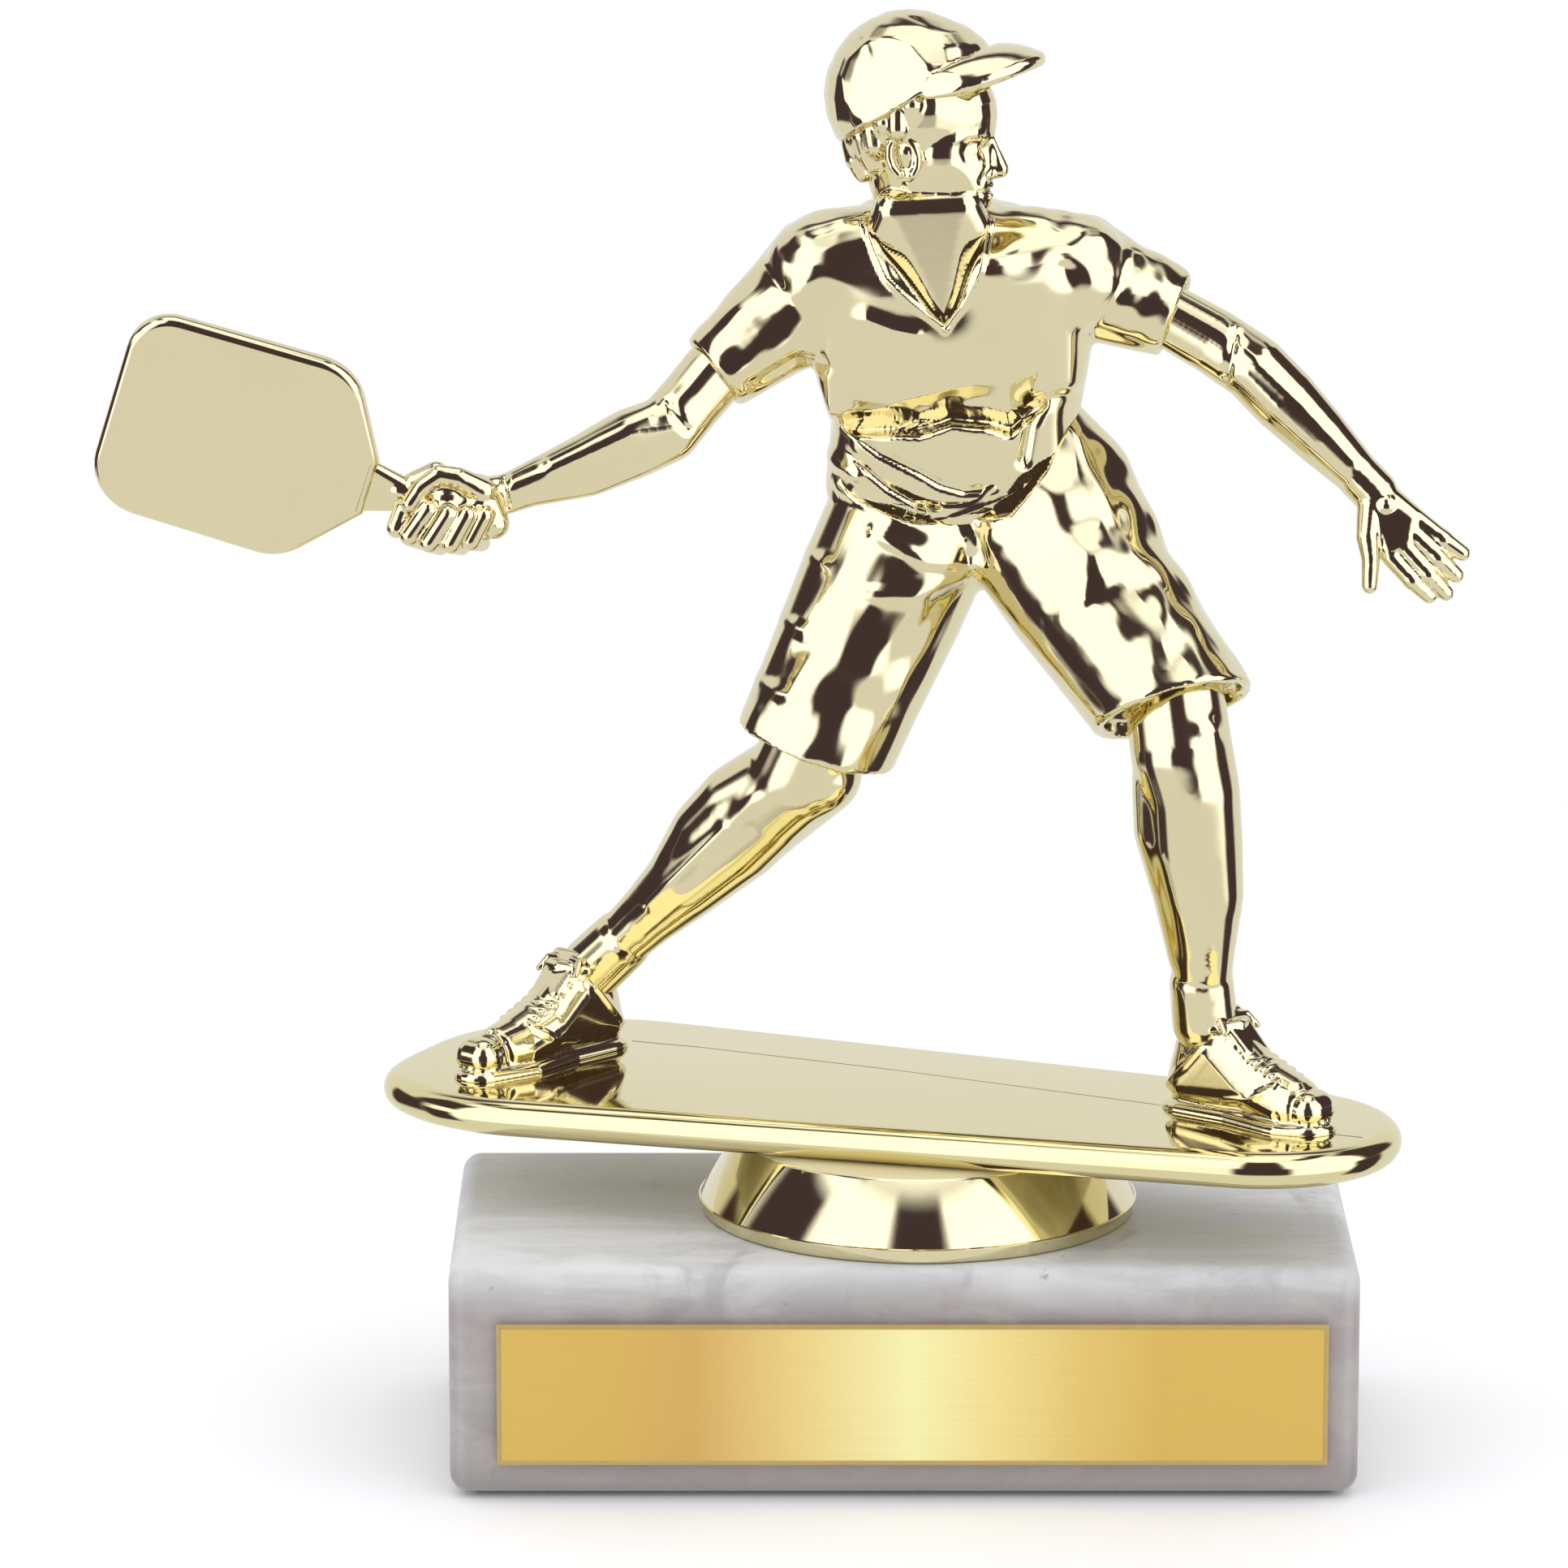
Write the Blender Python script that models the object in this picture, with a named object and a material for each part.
"""Sports trophy: a gold paddle player on an oblong deck, on a conical riser, on a marble block.

The figure is put together from the garments, limbs and shoes that its mould lines divide it into.
Metres, +Z up, the front faces -Y. The origin is the middle of the underside.
Left and right are the player's own, so the right arm is on the viewer's left.
"""
import math

import bmesh
import bpy
from mathutils import Matrix, Vector

# Fits: a cut socket keeps FIT_GAP around its peg, flat faces keep SEAT_GAP between them.
FIT_GAP = 0.0003
SEAT_GAP = 0.0001

# Marble block, felt pad and name plate
BASE_WIDTH = 0.1016
BASE_DEPTH = 0.0516
BASE_HEIGHT = 0.0264
BASE_ROUND = 0.0022
PAD_THICKNESS = 0.0005
PAD_INSET = 0.0030
PLATE_WIDTH = 0.0926
PLATE_HEIGHT = 0.0162
PLATE_THICKNESS = 0.0006
PLATE_SHIFT = 0.0009
PLATE_DROP = 0.0012
TAPE_THICKNESS = 0.0004
TAPE_INSET = 0.0015

# Tie stud and its fasteners: the stud stands a little right of the block's middle
STUD_X = 0.0018
STUD_RADIUS = 0.0025
STUD_SHORT_OF_INSERT = 0.0005
STUD_BELOW_NUT = 0.0020
HOLE_CLEARANCE = 0.0005
COUNTERBORE_RADIUS = 0.0085
COUNTERBORE_DEPTH = 0.0100
NUT_ACROSS_FLATS = 0.0080
NUT_HEIGHT = 0.0040
WASHER_RADIUS = 0.0070
WASHER_THICKNESS = 0.0010
LOCK_WASHER_RADIUS = 0.0045
LOCK_WASHER_THICKNESS = 0.0012
LOCK_WASHER_SPLIT = 0.0006
INSERT_WALL = 0.0010
INSERT_LENGTH = 0.0065

# Riser: a hollow cone with a lip at its foot
RISER_FOOT_RADIUS = 0.0248
RISER_LIP_WIDTH = 0.0009
RISER_LIP_HEIGHT = 0.0016
RISER_TOP_RADIUS = 0.0189
RISER_HEIGHT = 0.0090
RISER_WALL = 0.0022

# Player: its height over the deck, and how far that is from the height its sizes are drawn at
PLAYER_HEIGHT = 0.1242
DRAWN_HEIGHT = 0.1242
GROW = PLAYER_HEIGHT / DRAWN_HEIGHT

# Deck: an oblong board with a half-round rim, larger at the right foot's end
DECK_THICKNESS = 0.0042
DECK_RIGHT_RADIUS = 0.0220 * GROW
DECK_LEFT_RADIUS = 0.0160 * GROW
DECK_SPAN = 0.0832 * GROW
DECK_SHIFT = -0.0010 * GROW
DECK_BACK = 0.0018 * GROW
DECK_YAW = math.radians(-19.7)
BOSS_RADIUS = 0.0070
BOSS_HEIGHT = 0.0050
PIN_RADIUS = 0.0012
PIN_LENGTH = 0.0022

# Player: joints from the middle of the deck's top, over the stud
NECK = Vector((0.0015, 0.0040, 0.0973)) * GROW
SKULL = Vector((-0.0004, 0.0025, 0.1133)) * GROW
JAW = Vector((0.0058, 0.0004, 0.1046)) * GROW
BROW = Vector((0.0044, 0.0008, 0.1133)) * GROW
RIGHT_SHOULDER = Vector((-0.0100, 0.0040, 0.0930)) * GROW
RIGHT_SLEEVE = Vector((-0.0230, 0.0000, 0.0829)) * GROW
RIGHT_ELBOW = Vector((-0.0282, -0.0030, 0.0788)) * GROW
RIGHT_WRIST = Vector((-0.0460, -0.0070, 0.0708)) * GROW
RIGHT_FIST = Vector((-0.0522, -0.0080, 0.0694)) * GROW
LEFT_SHOULDER = Vector((0.0170, 0.0040, 0.0935)) * GROW
LEFT_SLEEVE = Vector((0.0285, 0.0020, 0.0891)) * GROW
LEFT_ELBOW = Vector((0.0372, -0.0010, 0.0836)) * GROW
LEFT_WRIST = Vector((0.0506, -0.0040, 0.0702)) * GROW
LEFT_KNUCKLES = Vector((0.0563, -0.0052, 0.0637)) * GROW
LEFT_FINGERTIPS = Vector((0.0600, -0.0060, 0.0607)) * GROW
LEFT_THUMB = Vector((0.0501, -0.0076, 0.0602)) * GROW
WAIST = Vector((0.0046, 0.0040, 0.0726)) * GROW
WAIST_UP = Vector((-0.2360, -0.5000, 1.0000))
TUCK = Vector((0.0048, 0.0040, 0.0788)) * GROW
TUCK_UP = Vector((-0.1000, -0.2000, 1.0000))
RIBS = Vector((0.0042, 0.0035, 0.0850)) * GROW
CHEST = Vector((0.0038, 0.0035, 0.0910)) * GROW
YOKE = Vector((0.0036, 0.0040, 0.0962)) * GROW
COLLAR_FOOT = Vector((0.0030, 0.0042, 0.0995)) * GROW
COLLAR = Vector((0.0022, 0.0045, 0.1010)) * GROW
RIGHT_HIP = Vector((-0.0005, 0.0040, 0.0655)) * GROW
RIGHT_HEM = Vector((-0.0122, 0.0060, 0.0398)) * GROW
RIGHT_HEM_UP = Vector((0.3000, -0.0600, 0.9500))
RIGHT_KNEE = Vector((-0.0136, 0.0070, 0.0358)) * GROW
RIGHT_ANKLE = Vector((-0.0362, 0.0195, 0.0110)) * GROW
LEFT_HIP = Vector((0.0135, 0.0025, 0.0655)) * GROW
LEFT_HEM = Vector((0.0277, -0.0125, 0.0472)) * GROW
LEFT_HEM_UP = Vector((-0.2700, 0.4800, 0.8300))
LEFT_KNEE = Vector((0.0285, -0.0150, 0.0430)) * GROW
LEFT_ANKLE = Vector((0.0320, -0.0075, 0.0120)) * GROW

# Player: thicknesses
NECK_RADIUS = 0.0050 * GROW
NECK_PEG = 0.0045 * GROW
SKULL_RADIUS = 0.0080 * GROW
JAW_RADIUS = 0.0031 * GROW
BROW_RADIUS = 0.0050 * GROW
CAP_WALL = 0.0012 * GROW
CAP_TILT = math.radians(31.0)
CAP_RIM_RISE = 0.0005 * GROW
CAP_CROWN = 0.0016 * GROW
BILL_LENGTH = 0.0072 * GROW
BILL_HALF_WIDTH = 0.0052 * GROW
BILL_THICKNESS = 0.0014 * GROW
ARM_PEG = 0.0045 * GROW
RIGHT_ARM_RADIUS = 0.0033 * GROW
RIGHT_ELBOW_RADIUS = 0.0037 * GROW
RIGHT_WRIST_RADIUS = 0.0025 * GROW
LEFT_ARM_RADIUS = 0.0037 * GROW
LEFT_WRIST_RADIUS = 0.0029 * GROW
FIST_RADIUS = 0.0046 * GROW
FIST_HALF_GRIP = 0.0022 * GROW
FINGER_RADIUS = 0.0013 * GROW
PALM_RADIUS = 0.0018 * GROW
KNUCKLE_SPREAD = 0.0056 * GROW
SLEEVE_SHOULDER_RADIUS = 0.0070 * GROW
YOKE_RADIUS = 0.0064 * GROW
RIGHT_SLEEVE_RADIUS = 0.0044 * GROW
LEFT_SLEEVE_RADIUS = 0.0050 * GROW
WAIST_HALF_WIDTH = 0.0159 * GROW
WAIST_HALF_DEPTH = 0.0105 * GROW
TUCK_HALF_WIDTH = 0.0147 * GROW
TUCK_HALF_DEPTH = 0.0092 * GROW
RIBS_HALF_WIDTH = 0.0154 * GROW
RIBS_HALF_DEPTH = 0.0094 * GROW
CHEST_HALF_WIDTH = 0.0175 * GROW
CHEST_HALF_DEPTH = 0.0096 * GROW
YOKE_HALF_WIDTH = 0.0152 * GROW
YOKE_HALF_DEPTH = 0.0080 * GROW
COLLAR_FOOT_HALF_WIDTH = 0.0105 * GROW
COLLAR_FOOT_HALF_DEPTH = 0.0064 * GROW
COLLAR_HALF_WIDTH = 0.0066 * GROW
COLLAR_HALF_DEPTH = 0.0054 * GROW
WAIST_PEG = 0.0060 * GROW
WAIST_PEG_SHARE = 0.55
HIP_RADIUS = 0.0095 * GROW
HEM_RADIUS = 0.0087 * GROW
HEM_WALL = 0.0012 * GROW
HEM_RECESS = 0.0030 * GROW
LEG_PEG = 0.0075 * GROW
KNEE_RADIUS = 0.0061 * GROW
CALF_RADIUS = 0.0061 * GROW
SHIN_RADIUS = 0.0043 * GROW
ANKLE_RADIUS = 0.0036 * GROW
ANKLE_PEG = 0.0030 * GROW
HEEL_RADIUS = 0.0040 * GROW
SHOE_HEIGHT = 0.0062 * GROW
TOE_HEIGHT = 0.0040 * GROW
TOE_HALF_WIDTH = 0.0046 * GROW
SHOE_COLLAR_RADIUS = 0.0049 * GROW
RIGHT_HEEL = Vector((-0.0372, 0.0222, 0.0000)) * GROW
RIGHT_TOE = Vector((-0.0490, 0.0085, 0.0000)) * GROW
LEFT_HEEL = Vector((0.0312, -0.0060, 0.0000)) * GROW
LEFT_TOE = Vector((0.0428, -0.0163, 0.0000)) * GROW

# Paddle: a blade with a tapered throat, on a round handle through the fist
BLADE_LENGTH = 0.0296 * GROW
BLADE_HALF_WIDTH = 0.0114 * GROW
BLADE_SHOULDER = 0.0070 * GROW
BLADE_CORNER = 0.0038 * GROW
BLADE_THICKNESS = 0.0024 * GROW
THROAT_HALF_WIDTH = 0.0033 * GROW
HANDLE_RADIUS = 0.0017 * GROW
HANDLE_BEYOND_FIST = 0.0042 * GROW
FIST_TO_THROAT = 0.0090 * GROW
PADDLE_RISE = math.radians(19.5)

SIDES = 16
ROUND_SIDES = 32
BALL_SEGMENTS = 12
BALL_RINGS = 8
TOWARDS_VIEWER = Vector((0.0, -1.0, 0.0))
UP = Vector((0.0, 0.0, 1.0))

base_bottom = PAD_THICKNESS + SEAT_GAP
base_top = base_bottom + BASE_HEIGHT
riser_bottom = base_top + SEAT_GAP
deck_bottom = riser_bottom + RISER_HEIGHT + SEAT_GAP
deck_top = deck_bottom + DECK_THICKNESS
insert_radius = STUD_RADIUS + FIT_GAP + INSERT_WALL
boss_bottom = -DECK_THICKNESS - BOSS_HEIGHT
insert_top = boss_bottom + INSERT_LENGTH
shoe_bottom = SEAT_GAP

for leftover in list(bpy.data.objects):
    bpy.data.objects.remove(leftover, do_unlink=True)


def empty(name, place):
    """Put a plain axes empty at a place, for the pieces that move with it."""
    axes = bpy.data.objects.new(name, None)
    axes.location = place
    bpy.context.scene.collection.objects.link(axes)
    return axes


figure = empty("figure_turn", (STUD_X, 0.0, deck_top))


def material(name, colour, metallic, roughness):
    """Make a Principled material."""
    result = bpy.data.materials.new(name)
    result.use_nodes = True
    shader = result.node_tree.nodes["Principled BSDF"]
    shader.inputs["Base Color"].default_value = (*colour, 1.0)
    shader.inputs["Metallic"].default_value = metallic
    shader.inputs["Roughness"].default_value = roughness
    return result


GOLD = ((0.84, 0.74, 0.45), 1.0, 0.10)
STEEL = ((0.62, 0.62, 0.64), 1.0, 0.35)


def body(name, mesh_builder):
    """Turn a bmesh into a linked object with its normals facing out."""
    bmesh.ops.recalc_face_normals(mesh_builder, faces=mesh_builder.faces)
    mesh = bpy.data.meshes.new(name)
    mesh_builder.to_mesh(mesh)
    mesh_builder.free()
    result = bpy.data.objects.new(name, mesh)
    bpy.context.scene.collection.objects.link(result)
    return result


def piece(target, name, look, parent=None):
    """Name a finished body, give it its material and hang it on its parent."""
    target.name = name
    target.data.name = name
    target.data.materials.clear()
    target.data.materials.append(material(name, *look))
    target.parent = parent
    target.data.shade_smooth()
    target.data.set_sharp_from_angle(angle=math.radians(40.0))
    return target


def combine(target, tool, operation):
    """Apply one Boolean to the target and remove the tool."""
    modifier = target.modifiers.new(operation, "BOOLEAN")
    modifier.operation = operation
    modifier.solver = "EXACT"
    modifier.object = tool
    bpy.context.view_layer.objects.active = target
    bpy.ops.object.modifier_apply(modifier=modifier.name)
    bpy.data.objects.remove(tool, do_unlink=True)
    return target


def join(*bodies):
    """Unite bodies into the first one."""
    for other in bodies[1:]:
        combine(bodies[0], other, "UNION")
    return bodies[0]


def cut(target, *tools):
    """Take tools out of a body."""
    for tool in tools:
        combine(target, tool, "DIFFERENCE")
    return target


def section(centre, direction, half_width, half_depth):
    """Give the points of an oval across a direction, its width lying across the viewer's sight."""
    along = Vector(direction).normalized()
    across = along.cross(TOWARDS_VIEWER).normalized()
    depth = across.cross(along)
    turns = (2.0 * math.pi * step / SIDES for step in range(SIDES))
    return [
        Vector(centre) + across * half_width * math.cos(turn) + depth * half_depth * math.sin(turn)
        for turn in turns
    ]


def loft(name, rings):
    """Skin closed rings of equal counts, and cap both ends."""
    builder = bmesh.new()
    loops = [[builder.verts.new(point) for point in ring] for ring in rings]
    for lower, upper in zip(loops, loops[1:]):
        for index in range(len(lower)):
            following = (index + 1) % len(lower)
            builder.faces.new((lower[index], lower[following], upper[following], upper[index]))
    builder.faces.new(loops[0])
    builder.faces.new(loops[-1])
    return body(name, builder)


def limb(name, stations, grow=0.0):
    """Loft a round limb through (point, radius) stations, grown all over by a gap."""
    points = [Vector(point) for point, _ in stations]
    first = (points[1] - points[0]).normalized()
    last = (points[-1] - points[-2]).normalized()
    points[0] = points[0] - first * grow
    points[-1] = points[-1] + last * grow
    rings = []
    for index, point in enumerate(points):
        before = (point - points[index - 1]).normalized() if index else first
        after = (points[index + 1] - point).normalized() if index + 1 < len(points) else last
        radius = stations[index][1] + grow
        rings.append(section(point, before + after, radius, radius))
    return loft(name, rings)


def hull(name, balls, grow=0.0):
    """Wrap (centre, radius) balls in their convex hull."""
    builder = bmesh.new()
    for centre, radius in balls:
        bmesh.ops.create_uvsphere(
            builder, u_segments=BALL_SEGMENTS, v_segments=BALL_RINGS,
            radius=radius + grow, matrix=Matrix.Translation(Vector(centre)))
    points = [vertex.co.copy() for vertex in builder.verts]
    builder.clear()
    wrapped = bmesh.ops.convex_hull(builder, input=[builder.verts.new(point) for point in points])
    bmesh.ops.delete(builder, geom=wrapped["geom_interior"], context="VERTS")
    return body(name, builder)


def cylinder(name, radius, bottom, top, centre=(0.0, 0.0), sides=ROUND_SIDES):
    """Stand a cylinder between two heights."""
    builder = bmesh.new()
    bmesh.ops.create_cone(
        builder, cap_ends=True, segments=sides, radius1=radius, radius2=radius, depth=top - bottom,
        matrix=Matrix.Translation((centre[0], centre[1], (top + bottom) / 2.0)))
    return body(name, builder)


def box(name, low, high):
    """Make a box between two corners."""
    builder = bmesh.new()
    size = Vector(high) - Vector(low)
    middle = (Vector(high) + Vector(low)) / 2.0
    bmesh.ops.create_cube(builder, size=1.0, matrix=Matrix.Translation(middle) @ Matrix.Diagonal((*size, 1.0)))
    return body(name, builder)


def turned(name, profile):
    """Spin a closed (radius, height) profile about Z."""
    builder = bmesh.new()
    points = [builder.verts.new((radius, 0.0, height)) for radius, height in profile]
    edges = [builder.edges.new((points[i - 1], points[i])) for i in range(len(points))]
    bmesh.ops.spin(
        builder, geom=points + edges, cent=(0, 0, 0), axis=UP, angle=2.0 * math.pi,
        steps=ROUND_SIDES, use_merge=True)
    return body(name, builder)


# Marble block, with the stud's hole and a counterbore for its nut
builder = bmesh.new()
bmesh.ops.create_cube(
    builder, size=1.0,
    matrix=Matrix.Translation((0, 0, base_bottom + BASE_HEIGHT / 2.0))
    @ Matrix.Diagonal((BASE_WIDTH, BASE_DEPTH, BASE_HEIGHT, 1.0)))
bmesh.ops.bevel(
    builder, geom=builder.edges[:], offset=BASE_ROUND, segments=4, profile=0.5, affect="EDGES")
base = body("base", builder)
counterbore_top = base_bottom + COUNTERBORE_DEPTH
cut(
    base,
    cylinder("hole", STUD_RADIUS + HOLE_CLEARANCE, base_bottom, base_top + BASE_ROUND, (STUD_X, 0.0)),
    cylinder("bore", COUNTERBORE_RADIUS, base_bottom - BASE_ROUND, counterbore_top, (STUD_X, 0.0)))
piece(base, "marble_base", ((0.62, 0.60, 0.61), 0.0, 0.25))

# Felt pad under the block, over the counterbore's mouth
pad = box(
    "pad",
    (PAD_INSET - BASE_WIDTH / 2.0, PAD_INSET - BASE_DEPTH / 2.0, 0.0),
    (BASE_WIDTH / 2.0 - PAD_INSET, BASE_DEPTH / 2.0 - PAD_INSET, PAD_THICKNESS))
piece(pad, "base_pad", ((0.03, 0.03, 0.03), 0.0, 0.95))

# Name plate on its adhesive tape, on the block's front face
plate_middle = base_bottom + BASE_HEIGHT / 2.0 - PLATE_DROP
tape_back = -BASE_DEPTH / 2.0 - SEAT_GAP
tape_front = tape_back - TAPE_THICKNESS
plate_back = tape_front - SEAT_GAP


def sheet(name, back, thickness, inset):
    """Make one upright layer of the name plate."""
    half_width = PLATE_WIDTH / 2.0 - inset
    half_height = PLATE_HEIGHT / 2.0 - inset
    return box(
        name,
        (PLATE_SHIFT - half_width, back - thickness, plate_middle - half_height),
        (PLATE_SHIFT + half_width, back, plate_middle + half_height))


piece(sheet("tape", tape_back, TAPE_THICKNESS, TAPE_INSET), "plate_tape", ((0.85, 0.85, 0.8), 0.0, 0.6))
piece(sheet("plate", plate_back, PLATE_THICKNESS, 0.0), "name_plate", ((0.80, 0.62, 0.26), 1.0, 0.25))

# Stud, nut and washers: heights below are from the deck's top, where the figure's empty stands
washer_top = counterbore_top - SEAT_GAP
washer_bottom = washer_top - WASHER_THICKNESS
lock_top = washer_bottom - SEAT_GAP
lock_bottom = lock_top - LOCK_WASHER_THICKNESS
nut_top = lock_bottom - SEAT_GAP
nut_bottom = nut_top - NUT_HEIGHT
stud_bottom = nut_bottom - STUD_BELOW_NUT
stud_top = deck_top + insert_top - STUD_SHORT_OF_INSERT
thread_bore = STUD_RADIUS + FIT_GAP


def ring(name, outer_radius, bottom, top, sides=ROUND_SIDES):
    """Make a flat ring around the stud."""
    margin = top - bottom
    return cut(
        cylinder(name, outer_radius, bottom, top, sides=sides),
        cylinder("bore", thread_bore, bottom - margin, top + margin))


washer = ring("washer", WASHER_RADIUS, washer_bottom, washer_top)
washer.location.x = STUD_X
piece(washer, "flat_washer", STEEL)

lock_washer = ring("lock", LOCK_WASHER_RADIUS, lock_bottom - deck_top, lock_top - deck_top)
split_height = LOCK_WASHER_THICKNESS
cut(lock_washer, box(
    "split",
    (-LOCK_WASHER_SPLIT / 2.0, 0.0, lock_bottom - deck_top - split_height),
    (LOCK_WASHER_SPLIT / 2.0, 2.0 * LOCK_WASHER_RADIUS, lock_top - deck_top + split_height)))
piece(lock_washer, "lock_washer", STEEL, figure)

nut_radius = NUT_ACROSS_FLATS / 2.0 / math.cos(math.pi / 6.0)
nut = ring("nut", nut_radius, nut_bottom - deck_top, nut_top - deck_top, sides=6)
piece(nut, "hex_nut", STEEL, figure)

stud = cylinder("stud", STUD_RADIUS, stud_bottom - deck_top, stud_top - deck_top)
piece(stud, "tie_stud", STEEL, figure)

# Riser: outside down the cone and the lip, then up the hollow to the hole for the deck's boss
cone_foot = RISER_FOOT_RADIUS - RISER_LIP_WIDTH
riser_floor = riser_bottom - deck_top
riser_head = riser_floor + RISER_HEIGHT
riser = turned("riser", [
    (BOSS_RADIUS + FIT_GAP, riser_head),
    (RISER_TOP_RADIUS, riser_head),
    (cone_foot, riser_floor + RISER_LIP_HEIGHT),
    (RISER_FOOT_RADIUS, riser_floor + RISER_LIP_HEIGHT),
    (RISER_FOOT_RADIUS, riser_floor),
    (cone_foot - RISER_WALL, riser_floor),
    (RISER_TOP_RADIUS - RISER_WALL, riser_head - RISER_WALL),
    (BOSS_RADIUS + FIT_GAP, riser_head - RISER_WALL),
])
piece(riser, "riser", GOLD, figure)


# Deck: two end arcs and their tangents, shrunk and grown to roll the rim
def deck_outline(height, inset):
    """Give the deck's outline at a height below its top."""
    right = DECK_RIGHT_RADIUS - inset
    left = DECK_LEFT_RADIUS - inset
    tangent = math.acos((right - left) / DECK_SPAN)
    turn = Matrix.Rotation(DECK_YAW, 3, "Z")
    points = []
    for step in range(SIDES):
        angle = tangent + (2.0 * math.pi - 2.0 * tangent) * step / (SIDES - 1)
        points.append((-DECK_SPAN / 2.0 + right * math.cos(angle), right * math.sin(angle)))
    for step in range(SIDES):
        angle = -tangent + 2.0 * tangent * step / (SIDES - 1)
        points.append((DECK_SPAN / 2.0 + left * math.cos(angle), left * math.sin(angle)))
    middle = Vector((DECK_SHIFT, DECK_BACK, height))
    return [middle + turn @ Vector((x, y, 0.0)) for x, y in points]


rim = DECK_THICKNESS / 2.0
RIM_STEPS = 6
rim_turns = [math.pi * (step / RIM_STEPS - 0.5) for step in range(RIM_STEPS + 1)]
deck = loft("deck", [
    deck_outline(rim * (math.sin(turn) - 1.0), rim * (1.0 - math.cos(turn))) for turn in rim_turns])
join(deck, cylinder("boss", BOSS_RADIUS, boss_bottom, -rim))
cut(deck, cylinder("socket", insert_radius + FIT_GAP, boss_bottom - rim, insert_top + FIT_GAP))

insert = turned("insert", [
    (thread_bore, insert_top),
    (insert_radius, insert_top),
    (insert_radius, boss_bottom),
    (thread_bore, boss_bottom),
])
piece(insert, "threaded_insert", ((0.75, 0.58, 0.24), 1.0, 0.3), figure)


# Legs: from a peg in the shorts, over the knee and calf, to a peg in the shoe
def leg_stations(hip, hem, knee, ankle, heel, toe):
    """List a leg's stations from its peg in the shorts to its peg in the shoe."""
    thigh = (hip - hem).normalized()
    calf = knee.lerp(ankle, 0.35)
    shin = knee.lerp(ankle, 0.72)
    sole_way = (toe - heel).normalized()
    inside_shoe = ankle - UP * ANKLE_PEG + sole_way * (ANKLE_PEG / 3.0)
    return [
        (hem + thigh * LEG_PEG, KNEE_RADIUS),
        (knee, KNEE_RADIUS),
        (calf, CALF_RADIUS),
        (shin, SHIN_RADIUS),
        (ankle, ANKLE_RADIUS),
        (inside_shoe, ANKLE_RADIUS),
    ]


# Shoes: a flat-soled upper lofted from heel to toe, with a collar up to the ankle
def shoe_section(heel, toe, along, half_width, height):
    """Give one upright section of a shoe, flat along the sole."""
    way = (toe - heel).normalized()
    side = way.cross(UP)
    centre = heel + way * along + UP * shoe_bottom
    points = []
    for step in range(SIDES):
        turn = 2.0 * math.pi * step / SIDES
        rise = max(math.sin(turn), 0.0) ** 0.8
        points.append(centre + side * half_width * math.cos(turn) + UP * height * rise)
    return points


def shoe(name, heel, toe, ankle, stations):
    """Make a shoe with a socket for the ankle and a pin for the deck."""
    length = (toe - heel).length
    rings = [
        (-0.95 * HEEL_RADIUS, 0.45 * HEEL_RADIUS, 0.70 * SHOE_HEIGHT),
        (-0.70 * HEEL_RADIUS, 0.80 * HEEL_RADIUS, 0.95 * SHOE_HEIGHT),
        (0.0, HEEL_RADIUS, 1.15 * SHOE_HEIGHT),
        (0.35 * length, HEEL_RADIUS, 1.32 * SHOE_HEIGHT),
        (0.70 * length, 0.95 * TOE_HALF_WIDTH, 0.98 * SHOE_HEIGHT),
        (length, TOE_HALF_WIDTH, TOE_HEIGHT),
        (length + 0.70 * TOE_HALF_WIDTH, 0.75 * TOE_HALF_WIDTH, 0.85 * TOE_HEIGHT),
        (length + TOE_HALF_WIDTH, 0.35 * TOE_HALF_WIDTH, 0.55 * TOE_HEIGHT),
    ]
    upper = loft(name, [shoe_section(heel, toe, *values) for values in rings])
    inside = heel.lerp(toe, 0.22) + UP * (0.45 * SHOE_HEIGHT)
    collar = limb("collar", [
        (inside, HEEL_RADIUS * 0.9),
        (ankle - UP * ANKLE_PEG * 0.6, SHOE_COLLAR_RADIUS),
        (ankle, SHOE_COLLAR_RADIUS),
    ])
    pin_place = heel.lerp(toe, 0.45)
    pin = cylinder("pin", PIN_RADIUS, -PIN_LENGTH, SHOE_HEIGHT / 2.0, pin_place, SIDES)
    join(upper, collar, pin)
    cut(upper, limb("socket", stations, FIT_GAP))
    return piece(upper, name, GOLD, figure)


def pin_hole(heel, toe):
    """Make the cutter for a shoe pin's hole in the deck."""
    place = heel.lerp(toe, 0.45)
    return cylinder("pin_hole", PIN_RADIUS + FIT_GAP, -PIN_LENGTH - FIT_GAP, rim, place, SIDES)


right_stations = leg_stations(RIGHT_HIP, RIGHT_HEM, RIGHT_KNEE, RIGHT_ANKLE, RIGHT_HEEL, RIGHT_TOE)
left_stations = leg_stations(LEFT_HIP, LEFT_HEM, LEFT_KNEE, LEFT_ANKLE, LEFT_HEEL, LEFT_TOE)
piece(limb("leg", right_stations), "right_leg", GOLD, figure)
piece(limb("leg", left_stations), "left_leg", GOLD, figure)
shoe("right_shoe", RIGHT_HEEL, RIGHT_TOE, RIGHT_ANKLE, right_stations)
shoe("left_shoe", LEFT_HEEL, LEFT_TOE, LEFT_ANKLE, left_stations)
cut(deck, pin_hole(RIGHT_HEEL, RIGHT_TOE), pin_hole(LEFT_HEEL, LEFT_TOE))
piece(deck, "deck", GOLD, figure)


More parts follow.
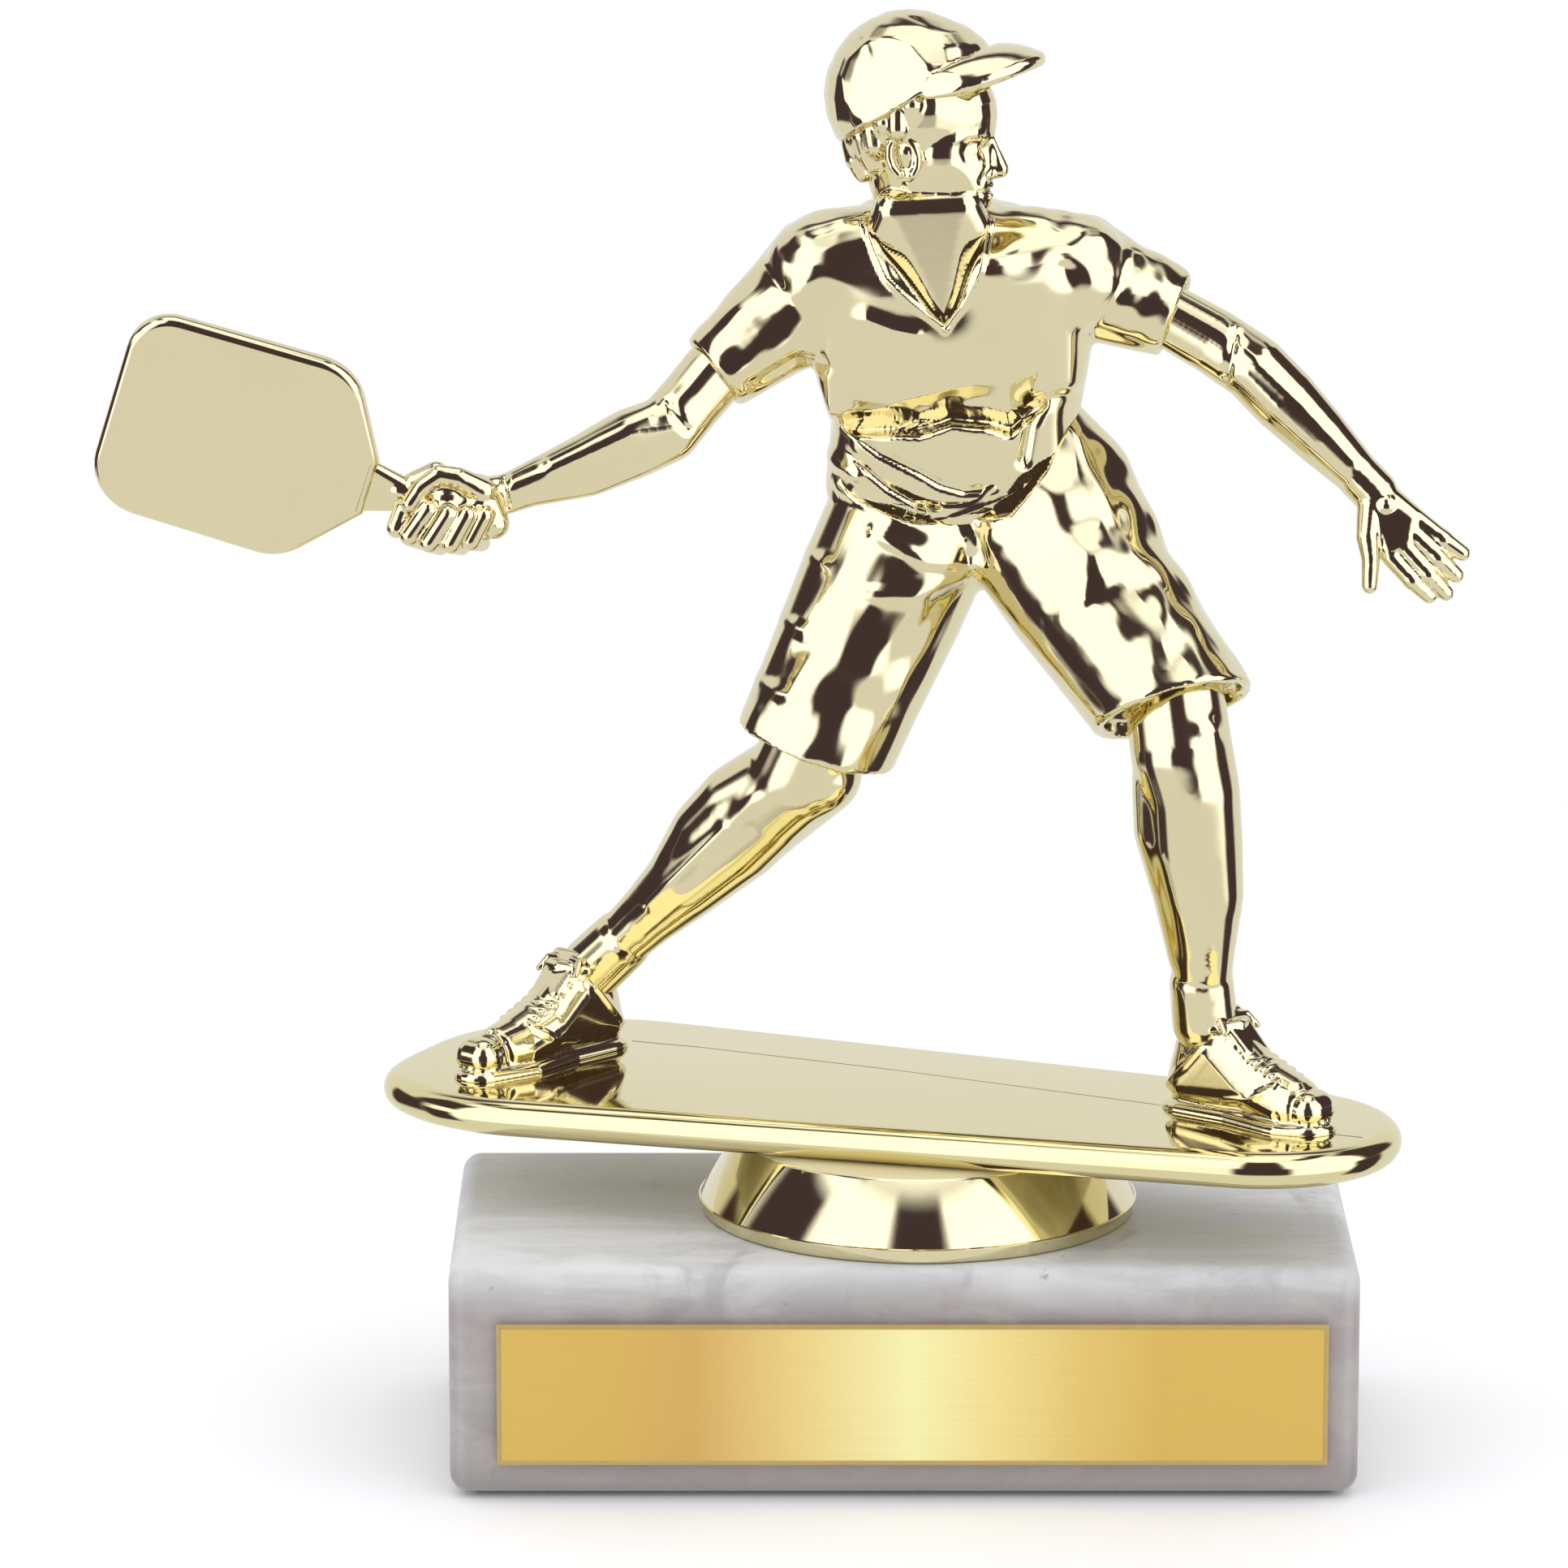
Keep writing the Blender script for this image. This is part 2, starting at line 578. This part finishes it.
# Shorts: hips and two loose legs, cut off under the shirt's hem, with a peg up into the shirt
def waist_loft(name, low, high, share, grow=0.0):
    """Loft the waist's oval along the waist's own direction."""
    way = WAIST_UP.normalized()
    width = WAIST_HALF_WIDTH * share + grow
    depth = WAIST_HALF_DEPTH * share + grow
    return loft(name, [section(WAIST + way * height, way, width, depth) for height in (low, high)])


def shorts_leg(hip, hem, hem_up):
    """Loft one leg of the shorts from the hip to the hem's own plane."""
    thigh = (hip - hem).normalized()
    middle_radius = (HIP_RADIUS + HEM_RADIUS) / 2.0
    return loft("shorts_leg", [
        section(hem, hem_up, HEM_RADIUS, HEM_RADIUS),
        section(hip.lerp(hem, 0.5), thigh, middle_radius, middle_radius),
        section(hip, thigh, HIP_RADIUS, HIP_RADIUS),
        section(hip + thigh * HIP_RADIUS / 2.0, thigh, 0.8 * HIP_RADIUS, 0.8 * HIP_RADIUS),
    ])


def hem_recess(hem, hem_up):
    """Make the cutter for the hollow inside a hem."""
    way = hem_up.normalized()
    radius = HEM_RADIUS - HEM_WALL
    return loft("recess", [
        section(hem + way * height, way, radius, radius) for height in (-HEM_WALL, HEM_RECESS)])


hips = (RIGHT_HIP + LEFT_HIP) / 2.0
shorts = loft("shorts", [
    section(hips - UP * HIP_RADIUS * 0.30, UP, 0.50 * WAIST_HALF_WIDTH, 0.6 * WAIST_HALF_DEPTH),
    section(hips + UP * HIP_RADIUS * 0.10, UP, 0.98 * WAIST_HALF_WIDTH, 0.92 * WAIST_HALF_DEPTH),
    section(WAIST, WAIST_UP, 0.97 * WAIST_HALF_WIDTH, 0.95 * WAIST_HALF_DEPTH),
])
join(
    shorts,
    shorts_leg(RIGHT_HIP, RIGHT_HEM, RIGHT_HEM_UP),
    shorts_leg(LEFT_HIP, LEFT_HEM, LEFT_HEM_UP))
cut(shorts, waist_loft("above", -SEAT_GAP, 3.0 * HIP_RADIUS, 2.0))
join(shorts, waist_loft("peg", -HIP_RADIUS / 2.0, WAIST_PEG, WAIST_PEG_SHARE))
cut(
    shorts,
    hem_recess(RIGHT_HEM, RIGHT_HEM_UP),
    hem_recess(LEFT_HEM, LEFT_HEM_UP),
    limb("socket", right_stations, FIT_GAP),
    limb("socket", left_stations, FIT_GAP))
piece(shorts, "shorts", GOLD, figure)

# Arms: from a peg in the sleeve, over the elbow, to the hand
right_sleeve_way = (RIGHT_SHOULDER - RIGHT_SLEEVE).normalized()
left_sleeve_way = (LEFT_SHOULDER - LEFT_SLEEVE).normalized()
right_arm_stations = [
    (RIGHT_SLEEVE + right_sleeve_way * ARM_PEG, RIGHT_ARM_RADIUS),
    (RIGHT_ELBOW, RIGHT_ELBOW_RADIUS),
    (RIGHT_ELBOW.lerp(RIGHT_WRIST, 0.4), RIGHT_ARM_RADIUS),
    (RIGHT_WRIST, RIGHT_WRIST_RADIUS),
    (RIGHT_FIST, RIGHT_WRIST_RADIUS),
]
left_arm_stations = [
    (LEFT_SLEEVE + left_sleeve_way * ARM_PEG, LEFT_ARM_RADIUS),
    (LEFT_ELBOW, LEFT_ARM_RADIUS),
    (LEFT_ELBOW.lerp(LEFT_WRIST, 0.4), LEFT_ARM_RADIUS * 0.96),
    (LEFT_WRIST, LEFT_WRIST_RADIUS),
    (LEFT_WRIST.lerp(LEFT_KNUCKLES, 0.3), LEFT_WRIST_RADIUS * 0.8),
]

# Shirt: a tilted hem, waist, chest and shoulders, with two short sleeves
shirt = loft("shirt", [
    section(WAIST, WAIST_UP, WAIST_HALF_WIDTH, WAIST_HALF_DEPTH),
    section(TUCK, TUCK_UP, TUCK_HALF_WIDTH, TUCK_HALF_DEPTH),
    section(RIBS, UP, RIBS_HALF_WIDTH, RIBS_HALF_DEPTH),
    section(CHEST, UP, CHEST_HALF_WIDTH, CHEST_HALF_DEPTH),
    section(YOKE, UP, YOKE_HALF_WIDTH, YOKE_HALF_DEPTH),
    section(COLLAR_FOOT, UP, COLLAR_FOOT_HALF_WIDTH, COLLAR_FOOT_HALF_DEPTH),
    section(COLLAR, UP, COLLAR_HALF_WIDTH, COLLAR_HALF_DEPTH),
])
right_sleeve = limb("sleeve", [
    (RIGHT_SHOULDER + right_sleeve_way * SLEEVE_SHOULDER_RADIUS / 2.0, SLEEVE_SHOULDER_RADIUS * 0.8),
    (RIGHT_SHOULDER, SLEEVE_SHOULDER_RADIUS),
    (RIGHT_SHOULDER.lerp(RIGHT_SLEEVE, 0.55), 0.55 * SLEEVE_SHOULDER_RADIUS + 0.45 * RIGHT_SLEEVE_RADIUS),
    (RIGHT_SLEEVE, RIGHT_SLEEVE_RADIUS),
])
left_sleeve = limb("sleeve", [
    (LEFT_SHOULDER + left_sleeve_way * SLEEVE_SHOULDER_RADIUS / 2.0, SLEEVE_SHOULDER_RADIUS * 0.8),
    (LEFT_SHOULDER, SLEEVE_SHOULDER_RADIUS),
    (LEFT_SHOULDER.lerp(LEFT_SLEEVE, 0.55), 0.55 * SLEEVE_SHOULDER_RADIUS + 0.45 * LEFT_SLEEVE_RADIUS),
    (LEFT_SLEEVE, LEFT_SLEEVE_RADIUS),
])
yoke = hull("yoke", [
    (RIGHT_SHOULDER, YOKE_RADIUS),
    (LEFT_SHOULDER, YOKE_RADIUS),
    (NECK - UP * NECK_RADIUS / 5.0, NECK_RADIUS),
])
join(shirt, right_sleeve, left_sleeve, yoke)

# Head and neck
neck_way = (SKULL - NECK).normalized()
neck_stations = [
    (NECK - neck_way * NECK_PEG, NECK_RADIUS),
    (NECK, NECK_RADIUS),
    (NECK.lerp(SKULL, 0.75), NECK_RADIUS * 0.92),
]
head_balls = [(SKULL, SKULL_RADIUS), (BROW, BROW_RADIUS), (JAW, JAW_RADIUS)]
head = join(hull("head", head_balls), limb("neck", neck_stations))
cut(
    shirt,
    waist_loft("socket", -SEAT_GAP, WAIST_PEG + FIT_GAP, WAIST_PEG_SHARE, FIT_GAP),
    limb("socket", right_arm_stations, FIT_GAP),
    limb("socket", left_arm_stations, FIT_GAP),
    limb("socket", neck_stations, FIT_GAP),
    hull("socket", head_balls, FIT_GAP))
piece(shirt, "shirt", GOLD, figure)
piece(head, "head", GOLD, figure)

# Cap: a dome over the skull down to a tilted rim, with a bill to the front
face_way = Vector((BROW.x - SKULL.x, BROW.y - SKULL.y, 0.0)).normalized()
rim_way = (face_way * math.cos(CAP_TILT) + UP * math.sin(CAP_TILT)).normalized()
face_side = face_way.cross(UP)
dome_up = face_side.cross(rim_way)
outer = SKULL_RADIUS + FIT_GAP + CAP_WALL
dome = hull("cap", [
    (SKULL + dome_up * CAP_CROWN, outer),
    (SKULL + face_way * (BROW - SKULL).length * 0.45 + dome_up * CAP_CROWN, outer * 0.93),
])
rim_level = SKULL + dome_up * CAP_RIM_RISE
reach = 4.0 * SKULL_RADIUS
below_rim = loft("below", [
    [rim_level + rim_way * a + face_side * b - dome_up * drop
     for a, b in ((-reach, -reach), (reach, -reach), (reach, reach), (-reach, reach))]
    for drop in (0.0, reach)])
cut(dome, below_rim)
bill_root = rim_level + rim_way * outer * 0.85 + dome_up * BILL_THICKNESS
bill_end = bill_root + face_way * BILL_LENGTH
bill = hull("bill", [
    (bill_root + face_side * BILL_HALF_WIDTH, BILL_THICKNESS / 2.0),
    (bill_root - face_side * BILL_HALF_WIDTH, BILL_THICKNESS / 2.0),
    (bill_end + face_side * BILL_HALF_WIDTH * 0.55, BILL_THICKNESS / 2.0),
    (bill_end - face_side * BILL_HALF_WIDTH * 0.55, BILL_THICKNESS / 2.0),
])
join(dome, bill)
cut(dome, hull("hollow", head_balls, FIT_GAP))
piece(dome, "cap", GOLD, figure)

# Paddle: the blade stands across the viewer's sight, its handle runs through the fist
blade_way = Vector((-math.cos(PADDLE_RISE), 0.0, math.sin(PADDLE_RISE)))
blade_side = Vector((math.sin(PADDLE_RISE), 0.0, math.cos(PADDLE_RISE)))
throat = RIGHT_FIST + blade_way * FIST_TO_THROAT


def blade_ring(offset, inset):
    """Give the blade's outline, rounded at the tip, at an offset towards the viewer."""
    half = BLADE_HALF_WIDTH - inset
    corner = BLADE_CORNER - inset
    end = BLADE_LENGTH - inset
    outline = [(0.0, -THROAT_HALF_WIDTH + inset), (0.0, THROAT_HALF_WIDTH - inset)]
    outline += [(BLADE_SHOULDER * 0.8, half * 0.93), (BLADE_SHOULDER * 1.2, half)]
    for first_turn, sign in ((math.pi / 2.0, 1.0), (0.0, -1.0)):
        for step in range(5):
            turn = first_turn - math.pi / 2.0 * step / 4.0
            along = end - corner + corner * math.cos(turn)
            outline.append((along, sign * (half - corner) + corner * math.sin(turn)))
    outline += [(BLADE_SHOULDER * 1.2, -half), (BLADE_SHOULDER * 0.8, -half * 0.93)]
    return [throat + blade_way * a + blade_side * b + TOWARDS_VIEWER * offset for a, b in outline]


def handle(grow):
    """Make the paddle's handle, from inside the blade through the fist."""
    return limb("handle", [
        (throat + blade_way * BLADE_SHOULDER / 2.0, HANDLE_RADIUS * 0.6),
        (throat, HANDLE_RADIUS),
        (RIGHT_FIST - blade_way * HANDLE_BEYOND_FIST, HANDLE_RADIUS),
    ], grow)


half_blade = BLADE_THICKNESS / 2.0
blade_edge = half_blade * 0.6
paddle = loft("paddle", [
    blade_ring(-half_blade, blade_edge),
    blade_ring(-half_blade + blade_edge, 0.0),
    blade_ring(half_blade - blade_edge, 0.0),
    blade_ring(half_blade, blade_edge),
])
join(paddle, handle(0.0))
piece(paddle, "paddle", GOLD, figure)

# Right arm: a fist closed round the handle
grip = [
    (RIGHT_FIST + blade_way * FIST_HALF_GRIP, FIST_RADIUS),
    (RIGHT_FIST - blade_way * FIST_HALF_GRIP, FIST_RADIUS),
]
right_arm = join(limb("arm", right_arm_stations), hull("fist", grip))
cut(right_arm, handle(FIT_GAP))
piece(right_arm, "right_arm", GOLD, figure)

# Left arm: an open hand, four fingers and a thumb
hand_way = (LEFT_FINGERTIPS - LEFT_KNUCKLES).normalized()
hand_side = hand_way.cross(TOWARDS_VIEWER).normalized()
half_spread = KNUCKLE_SPREAD / 2.0
palm = hull("palm", [
    (LEFT_WRIST, PALM_RADIUS),
    (LEFT_KNUCKLES + hand_side * half_spread, PALM_RADIUS),
    (LEFT_KNUCKLES - hand_side * half_spread, PALM_RADIUS),
])
left_arm = join(limb("arm", left_arm_stations), palm)
for finger in range(4):
    offset = hand_side * KNUCKLE_SPREAD * (finger / 3.0 - 0.5)
    reach_share = (0.86, 1.0, 1.0, 0.80)[finger]
    tip = LEFT_KNUCKLES.lerp(LEFT_FINGERTIPS, reach_share)
    join(left_arm, hull("finger", [
        (LEFT_KNUCKLES + offset, FINGER_RADIUS),
        (tip + offset * 1.12, FINGER_RADIUS * 0.85),
    ]))
join(left_arm, hull("thumb", [
    (LEFT_WRIST.lerp(LEFT_KNUCKLES, 0.35), FINGER_RADIUS),
    (LEFT_THUMB, FINGER_RADIUS * 0.9),
]))
piece(left_arm, "left_arm", GOLD, figure)
